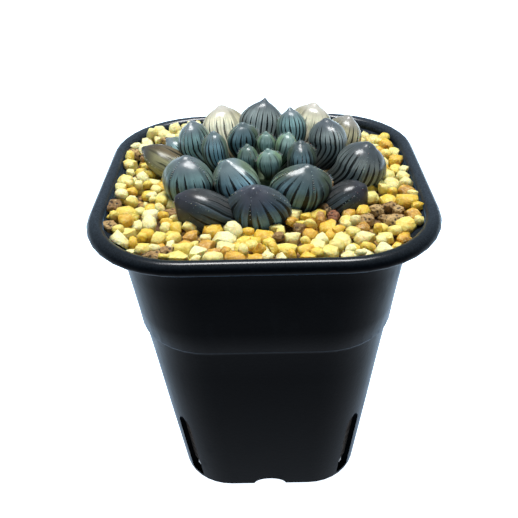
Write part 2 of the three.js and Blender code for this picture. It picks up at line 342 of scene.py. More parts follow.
def slitCutter(degrees):
    deselect()
    depth = pot["slitDepth"] * mm
    tall = (pot["slitShoulder"] - pot["slitFoot"]) * mm
    middle = (pot["slitReach"] * mm + depth / 2, 0, pot["slitFoot"] * mm + tall / 2)
    sized = (depth, pot["slitWidth"] * mm, tall)
    bpy.ops.mesh.primitive_cube_add(size=1, location=middle, scale=sized)
    cutter = bpy.context.object
    setPlace(cutter)
    edit("DESELECT")
    leaveEdit()
    for face in cutter.data.polygons:
        face.select = face.normal.z > 0.9
    bpy.ops.object.mode_set(mode="EDIT")
    arch = pot["slitTop"] - pot["slitShoulder"]
    before, width = 0.0, 1.0
    for share, narrower in pot["slitArch"]:
        rise = arch * mm * (share - before)
        bpy.ops.mesh.extrude_region_move(TRANSFORM_OT_translate={"value": (0, 0, rise)})
        bpy.ops.transform.resize(value=(1, narrower / width, 1), center_override=(0, 0, 0))
        before, width = share, narrower
    leaveEdit()
    cutter.rotation_euler.z = math.radians(degrees)
    setPlace(cutter)
    return cutter


def roundCutter(radius, depth, place, turn=(0, 0, 0), stretch=(1, 1, 1)):
    deselect()
    bpy.ops.mesh.primitive_cylinder_add(vertices=32, radius=radius * mm, depth=depth * mm)
    cutter = bpy.context.object
    cutter.scale = stretch
    cutter.rotation_euler = turn
    cutter.location = [value * mm for value in place]
    setPlace(cutter)
    return cutter


# Marks how far the rim faces up or inwards, for its painted sheen and dust
def markRim(body):
    marks = []
    for vertex in body.data.vertices:
        place, normal = vertex.co, vertex.normal
        inward = -(place.x * normal.x + place.y * normal.y) / max(place.to_2d().length, mm)
        marks.append(max(normal.z, inward, 0) if place.z > pot["rimFrom"] * mm else 0)
    body.data.attributes.new("rimTop", "FLOAT", "POINT").data.foreach_set("value", marks)


def potShell():
    body = potBody()
    cutters = [slitCutter(degrees) for degrees in pot["slitTurns"]]
    radius = pot["notchWidth"] / 2
    flat = (1, pot["notchHeight"] / radius, 1)
    for turn in (0, math.pi / 2):
        lying = (math.pi / 2, 0, turn)
        cutters.append(roundCutter(radius, pot["notchLength"], (0, 0, 0), lying, flat))
    for x, y, drain in pot["drains"]:
        cutters.append(roundCutter(drain, pot["drainDepth"], (x, y, pot["drainMiddle"])))
    for cutter in cutters:
        cut = body.modifiers.new("cut", "BOOLEAN")
        cut.operation = "DIFFERENCE"
        cut.solver = "EXACT"
        cut.object = cutter
    applyAll(body)
    for cutter in cutters:
        discard(cutter)
    smooth(body, pot["smooth"])
    markRim(body)
    body.name = "potShell"
    return body


# Black plastic, glossier on the rim's bead. The rim's top and inner slope get a painted blue-grey
# sheen mixed with a thin chalky dust, weaker towards the front.
def potPlastic():
    plastic = Finish("blackPotPlastic")
    place = plastic.place()
    mottle = plastic.cloud(place, 60, 3)
    grain = plastic.cloud(place, 1400, 2)
    x, y, z = plastic.split(place)
    dust = plastic.cloud(plastic.join(x * 300, y * 300, z * 90), 1.0, 3).fade(0.56, 0.78)
    specks = plastic.cells(place, 120).fade(0.05, 0.035)
    tone = plastic.blend(mottle.fade(0.3, 0.7), (0.0003, 0.0005, 0.0009), (0.0007, 0.0011, 0.0016))
    tone = plastic.blend(dust * 0.12, tone, (0.010, 0.012, 0.015))
    tone = plastic.blend(specks * 0.6, tone, (0.001, 0.001, 0.001))
    # Painted sheen with chalky dust on the rim's upward and inward faces, weaker towards the front
    chalkAndSheen = plastic.cloud(place, 2200, 2, 0.7).fade(0, 1) * (y.fade(-0.034, -0.012) * 0.75 + 0.25)
    tone = plastic.blend(plastic.attribute("rimTop") * chalkAndSheen, tone, (0.045, 0.06, 0.08))
    polish = z.fade(0.0850, 0.0858)
    return plastic.set({
        "Base Color": tone,
        "Roughness": 0.36 + mottle * 0.1 + dust * 0.1,
        "Specular IOR Level": 0.043,
        "Specular Tint": (0.12, 0.18, 0.25),
        "Sheen Weight": 0.3,
        "Sheen Roughness": 0.25,
        "Sheen Tint": (0.35, 0.65, 1.0),
        "Coat Weight": polish * 0.65,
        "Coat Roughness": 0.22,
        "Normal": plastic.bump(grain + mottle * 2, 0.00004, 0.5),
    })


finishPiece(potShell(), potPlastic(), ["pot"])
print("pot made")


# Leaves, from the bud outwards, as in the source: belly, tip, width and depth, turn, and height of
# the foot. Then how pointed the end is, how strong the keel, the look, and how light it is, partly
# its own tone and partly painted light and shade.
leafWords = ("belly", "tip", "size", "turn", "foot", "point", "keel", "look", "tone")
leafRows = [
    ((1, 4.5, 92.4), (1, 4.7, 94.9), (4.4, 4.2), 0, 87, 0.62, 0.045, "young", 0.87),
    ((1.6, -1.5, 90.3), (1.3, -1.6, 93.2), (6.2, 5), 0, 84.5, 0.66, 0.045, "young", 0.96),
    ((-3.3, 1.5, 90), (-3.6, 1.7, 93), (5.8, 5), 0, 84.5, 0.62, 0.045, "young", 0.52),
    ((6, 7, 90.5), (6.7, 7.4, 93.4), (6, 5), 0, 84.5, 0.66, 0.045, "young", 1),
    ((9.3, 3, 88.7), (9.4, 3.2, 93), (10.2, 7), 0, 82, 0.68, 0.045, "blue", 0.58),
    ((-4.9, 12, 90.2), (-4.9, 12, 94.4), (8.8, 7), 0, 82, 0.64, 0.045, "blue", 0.9),
    ((-11.6, 6, 90), (-12, 6.4, 94.6), (7.2, 6.5), 10, 81, 0.64, 0.045, "blue", 1.12),
    ((-6.2, -6, 88), (-8.3, -6.8, 92.9), (15.2, 9.5), -15, 80, 0.84, 0.055, "blue", 1.25),
    ((7.7, 16.5, 91.2), (7.4, 18, 95.8), (8.2, 7.5), 0, 80, 0.72, 0.045, "slate", 1.12),
    ((-17.4, 12, 89.6), (-18, 12.6, 94.8), (10, 8), 0, 79, 0.5, 0.045, "slate", 1.05),
    ((16.5, 10, 90.4), (16.2, 11, 95.4), (12.6, 9), 0, 79, 0.64, 0.045, "grey", 0.85),
    ((0, 21, 90.8), (0.9, 23.2, 96.6), (12.2, 9), 0, 79, 0.92, 0.045, "grey", 0.84),
    ((-17.8, -5, 87.6), (-18.1, -5.1, 93.5), (14, 11), 30, 78, 0.7, 0.045, "slate", 0.86),
    ((9, -9, 87.2), (10.6, -9.9, 92.7), (16, 10), -15, 78, 0.8, 0.06, "blue", 0.68),
    ((-1, -15.2, 85.3), (-2.2, -17.7, 91.3), (15.2, 9.5), -8, 77.5, 0.74, 0.1, "dusk", 0.98),
    ((23.8, 1.5, 87), (26, 1.8, 92.6), (13, 12.6), 0, 77.5, 0.58, 0.03, "grey", 0.56),
    ((-10, 22, 89), (-11, 25, 94.2), (13, 9), 0, 77.5, 0.6, 0.045, "cream", 1.1),
    ((12.9, 22.5, 89.3), (14.2, 24, 94.6), (13.2, 9), 0, 77.5, 0.62, 0.045, "cream", 1.1),
    ((19.6, -8.8, 83.2), (23.8, -9.8, 87.1), (11, 9.4), 0, 77, 0.6, 0.03, "smoke", 0.52),
    ((-13, -14.2, 84.1), (-19.6, -15.3, 88.3), (13, 10.4), 0, 77, 0.74, 0.09, "smoke", 0.62),
    ((-23.8, 8.5, 85.6), (-31, 11.2, 88.6), (10.5, 7.9), 0, 77, 0.78, 0.08, "amber", 0.44),
    ((21.2, 17.5, 88), (23, 18.5, 93), (11.8, 8.4), 0, 77, 0.6, 0.045, "olive", 0.86),
    ((-21.5, 13, 86.8), (-24.8, 14, 89.8), (8, 6), 0, 77, 0.7, 0.045, "slate", 1.2),
    ((1, 25, 84.5), (1, 29, 88.5), (12, 8), 0, 77, 0.7, 0.045, "olive", 1),
    ((-17, 19.5, 84.5), (-19, 22.5, 88.5), (10, 7), 0, 77, 0.7, 0.045, "olive", 1),
]
leaves = [dict(zip(leafWords, row)) for row in leafRows]
leafForm = {
    "rosette": (0.8, 2.5),
    "bellyAt": 0.6,
    "claw": 0.3,
    "stand": 1.2,
    "back": 0.54,
    "keelSpread": 0.24,
    "margin": 0.018,
    "marginSpread": 0.14,
    "footReach": 2.0,
    "point": 0.7,
    "dome": 0.56,
    "tipPoint": 0.55,
    "tipFrom": 0.97,
    "sides": 28,
    "rings": [
        0, 0.08, 0.17, 0.26, 0.35, 0.43, 0.5, 0.56, 0.62, 0.68, 0.74, 0.79, 0.84, 0.88, 0.92,
        0.95, 0.975, 0.99,
    ],
    "smooth": 60,
    "luckStep": 0.37,
}


def leafOutline(share):
    if share < leafForm["bellyAt"]:
        part = share / leafForm["bellyAt"]
        return leafForm["claw"] + (1 - leafForm["claw"]) * part * part * (3 - 2 * part)
    beyond = min((share - leafForm["bellyAt"]) / (1 - leafForm["bellyAt"]), 1)
    return (1 - beyond ** 2) ** leafForm["point"]


# Each leaf is more or less pointed from side to side, and domed from front to back
def leafEnd(leaf, share):
    beyond = min(max((share - leafForm["bellyAt"]) / (1 - leafForm["bellyAt"]), 0), 0.998)
    left = 1 - beyond ** 2
    usual = leafForm["point"]
    return left ** (leaf["point"] - usual), left ** (leafForm["dome"] - usual)


# One straight leaf, a unit long and a unit wide to each side, from which all the leaves are bent
def straightLeaf():
    deselect()
    rings = leafForm["rings"]
    sides = leafForm["sides"]
    bpy.ops.mesh.primitive_circle_add(vertices=sides, radius=leafOutline(0), fill_type="NOTHING")
    leaf = bpy.context.object
    edit()
    bpy.ops.mesh.select_mode(type="EDGE")
    for low, high in zip(rings, rings[1:] + [1.0]):
        bpy.ops.mesh.extrude_edges_move(TRANSFORM_OT_translate={"value": (0, 0, high - low)})
        if high < 1:
            wider = leafOutline(high) / leafOutline(low)
            bpy.ops.transform.resize(value=(wider, wider, 1), center_override=(0, 0, 0))
    bpy.ops.mesh.merge(type="CENTER")
    bpy.ops.mesh.select_mode(type="VERT")
    bpy.ops.mesh.select_all(action="DESELECT")
    bpy.ops.mesh.select_non_manifold()
    bpy.ops.mesh.edge_face_add()
    bpy.ops.mesh.poke()
    bpy.ops.mesh.select_all(action="SELECT")
    bpy.ops.mesh.normals_make_consistent(inside=False)
    leaveEdit()
    rounding = leaf.modifiers.new("rounding", "SUBSURF")
    rounding.levels = rounding.render_levels = 1
    applyAll(leaf)
    return leaf


# The midrib of a leaf, its direction, and the two ways across it, at a share of its length
def midrib(leaf):
    belly, tip = Vector(leaf["belly"]), Vector(leaf["tip"])
    middle = leafForm["rosette"]
    facing = math.atan2(belly.y - middle[1], belly.x - middle[0])
    outward = Vector((math.cos(facing), math.sin(facing), 0))
    across = Vector((-math.sin(facing), math.cos(facing), 0))
    foot = Vector((middle[0], middle[1], leaf["foot"])) + outward * leafForm["footReach"]
    rise = tip - belly
    bend = belly - rise * leafForm["stand"]
    turn = math.radians(leaf["turn"])

    def frameAt(share):
        part = min(share / leafForm["bellyAt"], 1)
        beyond = max((share - leafForm["bellyAt"]) / (1 - leafForm["bellyAt"]), 0)
        place = foot * (1 - part) ** 2 + bend * (2 * part * (1 - part)) + belly * part ** 2
        place += rise * beyond
        along = ((bend - foot) * (1 - part) + (belly - bend) * part).normalized()
        back = across.cross(along).normalized()
        side = back.cross(along)
        wide = side * math.cos(turn) + back * math.sin(turn)
        deep = back * math.cos(turn) - side * math.sin(turn)
        return place, along, wide, deep

    return frameAt


def ridge(angle, spread):
    return math.exp(-((angle / spread) ** 2))


# Where a point of the straight leaf goes on a leaf of the rosette
def bentPoint(leaf, frameAt, point):
    share = min(max(point.z, 0), 1)
    place, along, wide, deep = frameAt(share)
    width, depth = leaf["size"]
    radius = math.hypot(point.x, point.y)
    angle = math.atan2(point.y, point.x)
    thick = leafForm["back"] if point.y > 0 else 1 - leafForm["back"]
    keel = leaf["keel"] * ridge(angle - math.pi / 2, leafForm["keelSpread"] + 2 * leaf["keel"])
    edge = min(abs(angle), math.pi - abs(angle))
    margin = leafForm["margin"] * ridge(edge, leafForm["marginSpread"]) * math.copysign(1, point.x)
    sideways, through = leafEnd(leaf, share)
    bent = place + wide * width * (point.x * sideways / 2 + margin * radius)
    bent += deep * (depth * thick * point.y * through + keel * width * radius)
    tipFrom = leafForm["tipFrom"]
    if share > tipFrom:
        bent += along * leafForm["tipPoint"] * (share - tipFrom) / (1 - tipFrom)
    return bent * mm


# A leaf of the rosette. Each point keeps its place on the straight leaf for the material: leafPlace
# is its direction and its share of the length, and leafFace is how far it faces the leaf's front.
def bentLeaf(straight, leaf, number):
    piece = copyOf(straight, Matrix())
    piece.name = f"windowLeaf{number:02d}"
    frameAt = midrib(leaf)
    _, _, wide, deep = frameAt(leafForm["bellyAt"])
    front = Vector((-wide.y, -deep.y)).normalized()
    places, faces, luck, tones = [], [], [], []
    for vertex in piece.data.vertices:
        point = vertex.co.copy()
        radius = max(math.hypot(point.x, point.y), 1e-6)
        places += [point.x / radius, point.y / radius, point.z]
        faces.append((point.x * front.x + point.y * front.y) / radius)
        luck.append(number * leafForm["luckStep"])
        tones.append(leaf["tone"])
        vertex.co = bentPoint(leaf, frameAt, point)
    marks = piece.data.attributes
    marks.new("leafPlace", "FLOAT_VECTOR", "POINT").data.foreach_set("vector", places)
    for name, values in (("leafFace", faces), ("leafLuck", luck), ("leafTone", tones)):
        marks.new(name, "FLOAT", "POINT").data.foreach_set("value", values)
    smooth(piece, leafForm["smooth"])
    return piece


# Colours of a leaf's window, of the pale stripes in it, and of its tip, margins and foot, and how
# strong the margins are. The margins' colour is partly painted shade on the sides seen from the
# front, and the foot's darker colour is partly painted shade low between the leaves. The dark
# lines: how many, how far up they reach at least and at most, how wide and how dark. The keel:
# how dark.
leafLooks = {
    "young": {
        "window": (0.12, 0.195, 0.16), "stripe": (0.27, 0.38, 0.36), "tip": (0.21, 0.31, 0.28),
        "edge": (0.17, 0.26, 0.14), "foot": (0.09, 0.15, 0.08), "edges": 0.85,
        "lines": 13, "reach": (0.62, 0.86), "wide": 0.1, "dark": 0.75, "keel": 0.3,
    },
    "blue": {
        "window": (0.08, 0.145, 0.17), "stripe": (0.18, 0.29, 0.33), "tip": (0.12, 0.16, 0.17),
        "edge": (0.085, 0.115, 0.065), "foot": (0.055, 0.085, 0.05), "edges": 0.9,
        "lines": 18, "reach": (0.77, 0.95), "wide": 0.17, "dark": 0.99, "keel": 0.6,
    },
    "slate": {
        "window": (0.1, 0.16, 0.17), "stripe": (0.2, 0.32, 0.32), "tip": (0.13, 0.16, 0.175),
        "edge": (0.095, 0.13, 0.08), "foot": (0.045, 0.065, 0.04), "edges": 0.6,
        "lines": 20, "reach": (0.76, 0.94), "wide": 0.17, "dark": 0.98, "keel": 0.3,
    },
    "grey": {
        "window": (0.11, 0.135, 0.14), "stripe": (0.31, 0.36, 0.35), "tip": (0.1, 0.12, 0.135),
        "edge": (0.1, 0.12, 0.1), "foot": (0.03, 0.03, 0.022), "edges": 0.2,
        "lines": 24, "reach": (0.72, 0.97), "wide": 0.18, "dark": 0.99, "keel": 0.3,
    },
    "dusk": {
        "window": (0.05, 0.072, 0.095), "stripe": (0.11, 0.21, 0.33), "tip": (0.06, 0.066, 0.085),
        "edge": (0.045, 0.055, 0.045), "foot": (0.03, 0.055, 0.05), "edges": 0.6,
        "lines": 17, "reach": (0.78, 0.96), "wide": 0.15, "dark": 0.98, "keel": 0.99,
    },
    "smoke": {
        "window": (0.05, 0.06, 0.068), "stripe": (0.08, 0.11, 0.13), "tip": (0.065, 0.068, 0.085),
        "edge": (0.055, 0.048, 0.042), "foot": (0.035, 0.035, 0.03), "edges": 0.6,
        "lines": 17, "reach": (0.68, 0.92), "wide": 0.13, "dark": 0.97, "keel": 0.99,
    },
    "olive": {
        "window": (0.19, 0.175, 0.1), "stripe": (0.52, 0.48, 0.31), "tip": (0.3, 0.29, 0.26),
        "edge": (0.15, 0.135, 0.07), "foot": (0.06, 0.05, 0.025), "edges": 0.4,
        "lines": 19, "reach": (0.66, 0.92), "wide": 0.16, "dark": 0.92, "keel": 0.95,
    },
    # Pale cream, partly a painted highlight on the leaves at the back
    "cream": {
        "window": (0.33, 0.31, 0.2), "stripe": (0.62, 0.59, 0.45), "tip": (0.42, 0.4, 0.35),
        "edge": (0.17, 0.15, 0.08), "foot": (0.08, 0.065, 0.03), "edges": 0.5,
        "lines": 17, "reach": (0.6, 0.8), "wide": 0.13, "dark": 0.85, "keel": 0.4,
    },
    "amber": {
        "window": (0.24, 0.21, 0.1), "stripe": (0.42, 0.41, 0.23), "tip": (0.16, 0.15, 0.13),
        "edge": (0.14, 0.095, 0.06), "foot": (0.07, 0.05, 0.02), "edges": 0.7,
        "lines": 11, "reach": (0.55, 0.75), "wide": 0.1, "dark": 0.85, "keel": 0.97,
    },
}


def leafFlesh(name):
    look = leafLooks[name]
    flesh = Finish(name + "Leaf")
    place = flesh.attribute("leafPlace", "Vector")
    face = abs(flesh.attribute("leafFace"))
    luck = flesh.attribute("leafLuck")
    across, deep, share = flesh.split(place)
    turn = flesh.add("ShaderNodeMath", {"operation": "ARCTAN2"}, {0: deep, 1: across})
    drift = flesh.cloud(flesh.join(across * 1.5 + luck * 9, deep * 1.5, share * 0.9), 1.0, 1)
    waver = flesh.cloud(flesh.join(across * 3, deep * 3, share * 14 + luck * 5), 1.0, 2)
    around = turn / (2 * math.pi) + drift * 0.05

    # Dark lines, one in the middle of each lane, with finer ones between them
    lane = around * look["lines"] + waver * 0.14
    number = lane.floor() + luck * 57
    middle = abs(lane.fract() - 0.5)
    least, most = look["reach"]
    reach = flesh.chance(number) * (most - least) + least
    thin = share.fade(reach + 0.01, reach - 0.1) * 0.7 + share.fade(reach, reach - 0.4) * 0.6
    fullness = flesh.chance(number + 0.41) * 0.7 + 0.5
    line = (thin * fullness * look["wide"] - middle).fade(-0.03, 0.02) * (thin > 0.02)
    fineLane = around * look["lines"] * 2.7 + waver * 0.3
    fineReach = flesh.chance(fineLane.floor() + luck * 31) * 0.33 + 0.62
    fine = (0.12 - abs(fineLane.fract() - 0.5)).fade(-0.1, 0.1)
    fine = fine * share.fade(fineReach + 0.03, fineReach - 0.1)

    # The window, lighter along its stripes, and lighter in its middle where it faces the front
    # (-Y), a painted glow of light through the window
    pale = (0.5 - middle).fade(0.06, 0.3) * share.fade(0.92, 0.68)
    streak = flesh.cloud(flesh.join(across * 6 + luck * 9, deep * 6, share * 1.5), 1.0, 2)
    streak = streak.fade(0.42, 0.62)
    heartGlow = face.fade(0.55, 0.95) * share.fade(0.96, 0.76)
    mottle = flesh.cloud(flesh.place(), 1300, 3, 0.7).fade(0.45, 0.7)
    light = streak * 0.25 + pale * 0.25 + heartGlow * 0.5 + mottle * 0.2
    tone = flesh.blend(light, look["window"], look["stripe"])

    # Tip, margins and foot, and then the lines over them. The margins darken towards the sides seen
    # from the front and the foot darkens low down, both partly painted shade.
    tone = flesh.blend(share.fade(0.76, 0.97), tone, look["tip"])
    marginShade = face.fade(0.8, 0.35) * share.fade(0.99, 0.85) * look["edges"]
    tone = flesh.blend(marginShade, tone, look["edge"])
    tone = flesh.blend(share.fade(0.5, 0.3) * 0.95, tone, look["foot"])
    tone = flesh.blend(fine * 0.4, tone, (0.02, 0.03, 0.03))
    keel = abs(across).fade(0.08, 0.035) * deep.fade(0.5, 0.9) * share.fade(0.97, 0.85)
    border = abs(face - 0.7).fade(0.07, 0.025) * share.fade(0.95, 0.82)
    tone = flesh.blend(border * look["edges"] * 0.8, tone, (0.012, 0.016, 0.014))
    tone = flesh.blend(keel * look["keel"], tone, (0.008, 0.008, 0.009))
    tone = flesh.blend(line * look["dark"], tone, (0.007, 0.009, 0.009))

    # Painted light: the flesh below the tip is lighter, as if light came through it. Each leaf's
    # own lightness factor is partly its tone and partly painted light and shade.
    through = share.fade(0.86, 0.64) * share.fade(0.42, 0.56)
    lightness = flesh.attribute("leafTone") * (through * 0.65 + 1)
    grey = flesh.join(lightness, lightness, lightness)
    tone = flesh.blend(1.0, tone, grey, "MULTIPLY")
    dots = flesh.cells(flesh.place(), 1000).fade(0.15, 0.06) * share.fade(0.6, 0.8)
    tone = flesh.blend(dots * 0.25, tone, (0.45, 0.52, 0.55))
    skin = flesh.cloud(flesh.place(), 1800, 3)
    return flesh.set({
        "Base Color": tone,
        "Roughness": 0.25 + skin * 0.12 + dots * 0.1,
        "Specular IOR Level": 0.14,
        "Subsurface Weight": 0.35,
        "Subsurface Radius": (0.9, 1.1, 1.1),
        "Subsurface Scale": 0.0003,
        "Coat Weight": share.fade(0.55, 0.8) * 0.34,
        "Coat Roughness": 0.18,
        "Sheen Weight": 0.12,
        "Sheen Roughness": 0.3,
        "Sheen Tint": (0.75, 0.9, 0.9),
        "Normal": flesh.bump(skin * 0.8 - line + dots * 0.6, 0.00006, 0.6),
    })


straight = straightLeaf()
leafMaterials = {name: leafFlesh(name) for name in leafLooks}
for number, leaf in enumerate(leaves, 1):
    piece = bentLeaf(straight, leaf, number)
    finishPiece(piece, leafMaterials[leaf["look"]], [f"leaf_{number:02d}"])
discard(straight)
print("leaves made")

# Teeth along the margins and the keel. On the inner leaves they are fine hairs, closer together.
teeth = {
    "length": 0.4,
    "radius": 0.075,
    "gap": 0.05,
    "from": 0.68,
    "to": 0.98,
    "keelLater": 0.1,
    "stand": 0.1,
    "seed": 77,
    "shift": 0.3,
    "lean": (0.5, 0.4),
    "scale": (0.6, 0.6),
    "spread": (0.8, 0.4),
    "haired": ("young", "blue", "slate"),
    "hairGap": 0.02,
    "hairScale": (0.8, 2.0),  # across and along
}


def leafTeeth():
    deselect()
    bpy.ops.mesh.primitive_cone_add(
        vertices=5,
        radius1=teeth["radius"] * mm,
        radius2=0,
        depth=teeth["length"] * mm,
        end_fill_type="NOTHING",
    )
    tooth = bpy.context.object
    random = randomRow(teeth["seed"])
    copies = []
    for leaf in leaves:
        frameAt = midrib(leaf)
        haired = leaf["look"] in teeth["haired"]
        gap = teeth["hairGap"] if haired else teeth["gap"]
        thin, long = teeth["hairScale"] if haired else (1, 1)
        for angle in (0.0, math.pi, math.pi / 2):
            share = teeth["from"] + (teeth["keelLater"] if angle == math.pi / 2 else 0)
            while share < teeth["to"]:
                here = share + gap * teeth["shift"] * random()
                size = leafOutline(here)
                onLeaf = Vector((size * math.cos(angle), size * math.sin(angle), here))
                foot = bentPoint(leaf, frameAt, onLeaf)
                middle, along, _, _ = frameAt(here)
                lean = along * mixed(teeth["lean"], random())
                way = ((foot - middle * mm).normalized() + lean).normalized()
                turned = way.to_track_quat("Z", "Y").to_matrix().to_4x4()
                scale = mixed(teeth["scale"], random())
                shape = Matrix.Diagonal((scale * thin, scale * thin, scale * long, 1))
                placed = Matrix.Translation(foot + way * teeth["stand"] * long * mm)
                copies.append(copyOf(tooth, placed @ turned @ shape))
                share += gap * mixed(teeth["spread"], random())
    discard(tooth)
    return joined(copies, "leafTeeth")


def toothHorn():
    horn = Finish("paleTeeth")
    pale = horn.cloud(horn.place(), 900, 1).fade(0.35, 0.65)
    return horn.set({
        "Base Color": horn.blend(pale, (0.42, 0.48, 0.42), (0.75, 0.78, 0.72)),
        "Roughness": 0.3 + pale * 0.1,
        "Subsurface Weight": 0.3,
        "Subsurface Scale": 0.0005,
    })


finishPiece(leafTeeth(), toothHorn(), [])
print("teeth made")

# Gravel: the source's grains at their places, and smaller stones that fill in between them
gravel = {
    "middle": 81.3,
    "edge": 83.1,
    "flat": 0.8,
    "half": 36.4,
    "corner": 20.0,
    "heap": (-25.0, 27.0, 81.0),
    "heapSize": (11.0, 10.0, 3.6),
    "wall": [
        (70.0, 31.4), (79.5, 32.7), (80.7, 33.1), (81.9, 34.0), (82.6, 34.6), (83.1, 35.3),
        (83.8, 36.6), (84.9, 36.6), (85.5, 37.0), (86.1, 38.3), (95.0, 40.0),
    ],
    "wallCorner": 0.57,
    "wallGap": 0.1,
}
grains = {
    "seed": 2959,
    "tries": 6000,
    "smallest": 1.95,
    "largest": 2.8,
    "spacing": 0.87,
    "lift": 0.5,
    "bare": 13.0,
    "leafRoom": 0.4,
    "stretch": [(0.9, 0.3), (0.9, 0.2), (0.8, 0.2)],
    "tilt": 0.5,
}
filling = {
    "seed": 411,
    "tries": 12000,
    "smallest": 1.3,
    "largest": 2.2,
    "wider": 0.6,
    "edgeRoom": 1.2,
    "sunk": 0.2,
    "nesting": 0.74,  # how close two stones lie, as a share of their radii
    "height": 2.5,
    "bare": 12.0,
    "leafRoom": 0.42,
    "stretch": [(0.9, 0.4), (0.85, 0.3), (0.8, 0.25)],
    "tilt": 2.4,
}
stoneForm = {
    "shapes": 10,
    "seed": 61,
    "seedStep": 17,
    "cube": 1.3,
    "rounding": (0.85, -0.4),
    "lumps": (0.1, 0.25),
    "flats": 7,
    "flatAt": (0.72, -0.12),
    "flatDeeper": 0.15,
    "merge": 0.16,
    "stretch": [(1.0, 0.25), (0.9, 0.15), (0.8, 0.2)],
    "smooth": (88, -34),
}
stoneTones = {
    "markReach": 2.1,
    "shadeReach": 17,
    "shade": 0.1,
    "clinkers": 0.02,
    "clinker": 0.8,
    "heap": 0.3,
    "quartz": 0.95,
}
# Stones of a special colour, by their place in plan, their kind, and their tone. The dark one at
# (14.5, -12.5) is painted shadow under a leaf.
markedStones = [
    (2, -25, "clinker", 0.3), (4, -27, "clinker", 0.5), (8, -23, "clinker", 0.2),
    (28, -12, "clinker", 0.4), (29, -15, "clinker", 0.6), (28, -20, "clinker", 0.7),
    (-22, -13, "clinker", 0.3), (-36, -12, "clinker", 0.2), (-34, -20, "clinker", 0.5),
    (-22, -32, "clinker", 0.4), (-35, 18, "clinker", 0.6), (16, -17, "clinker", 0.95),
    (12, -18, "quartz", 0.97), (-1, -23, "quartz", 0.8), (-16, -22, "quartz", 0.92),
    (-22, -27, "quartz", 0.9), (-11, -32, "quartz", 0.93), (-7, -33, "quartz", 0.91),
    (25, -19, "clinker", 0.5), (26, -16, "clinker", 0.6), (14.5, -12.5, "clinker", 0.1),
    (29.5, -18, "clinker", 0.55), (26.5, -18.5, "clinker", 0.45), (27, -13.5, "clinker", 0.6),
    (28, 14, "quartz", 0.88), (27, 17, "quartz", 0.84),
]


# 0 in the middle of the heap and 1 at its edge
def heapReach(x, y):
    heap, size = gravel["heap"], gravel["heapSize"]
    return math.hypot((x - heap[0]) / size[0], (y - heap[1]) / size[1])


def bedHeight(x, y):
    share = max(abs(x), abs(y)) / gravel["half"]
    rise = max(share - gravel["flat"], 0) / (1 - gravel["flat"])
    heaped = gravel["heap"][2] + gravel["heapSize"][2] * math.sqrt(max(1 - heapReach(x, y) ** 2, 0))
    return max(gravel["middle"] + (gravel["edge"] - gravel["middle"]) * rise, heaped)


def insideEdge(x, y, radius):
    half, corner = gravel["half"] - radius / 2, gravel["corner"] - radius / 2
    return math.hypot(max(abs(x) - (half - corner), 0), max(abs(y) - (half - corner), 0)) < corner


def clearOfLeaves(place, radius, share):
    for leaf in leaves:
        if (place - Vector(leaf["belly"])).length <= share * leaf["size"][0] + radius * 0.5:
            return False
    return True


def fromRosette(x, y):
    return math.hypot(x - leafForm["rosette"][0], y - leafForm["rosette"][1])


# The source's own rule, so that each grain is where its solid is
def grainPlaces():
    random = randomRow(grains["seed"])
    places = []
    for attempt in range(grains["tries"]):
        x = (2 * random() - 1) * gravel["half"]
        y = (2 * random() - 1) * gravel["half"]
        radius = grains["smallest"] + (grains["largest"] - grains["smallest"]) * random()
        near = any(
            math.hypot(x - a, y - b) <= grains["spacing"] * (radius + r) for a, b, z, r in places
        )
        if near or not insideEdge(x, y, radius) or fromRosette(x, y) < grains["bare"]:
            continue
        height = bedHeight(x, y) + grains["lift"] * radius
        if clearOfLeaves(Vector((x, y, height)), radius, grains["leafRoom"]):
            places.append((x, y, height, radius))
    return places


# Small stones roll down until they rest on the stones under them
def fillPlaces(places):
    random = randomRow(filling["seed"])
    laid = list(places)
    added = []
    for attempt in range(filling["tries"]):
        x = (2 * random() - 1) * (gravel["half"] + filling["wider"])
        y = (2 * random() - 1) * (gravel["half"] + filling["wider"])
        radius = filling["smallest"] + (filling["largest"] - filling["smallest"]) * random()
        bare = fromRosette(x, y) < filling["bare"]
        if bare or not insideEdge(x, y, radius * filling["edgeRoom"]):
            continue
        bed = bedHeight(x, y)
        height = bed - filling["sunk"] * radius
        for a, b, z, r in laid:
            flat = math.hypot(x - a, y - b)
            reach = filling["nesting"] * (radius + r)
            if flat < reach:
                height = max(height, z + math.sqrt(reach * reach - flat * flat))
        tooHigh = height > bed + filling["height"]
        if tooHigh or not clearOfLeaves(Vector((x, y, height)), radius, filling["leafRoom"]):
            continue
        laid.append((x, y, height, radius))
        added.append((x, y, height, radius))
    return added


def stretched(stretch, random):
    return Vector([mixed(pair, random()) for pair in stretch])


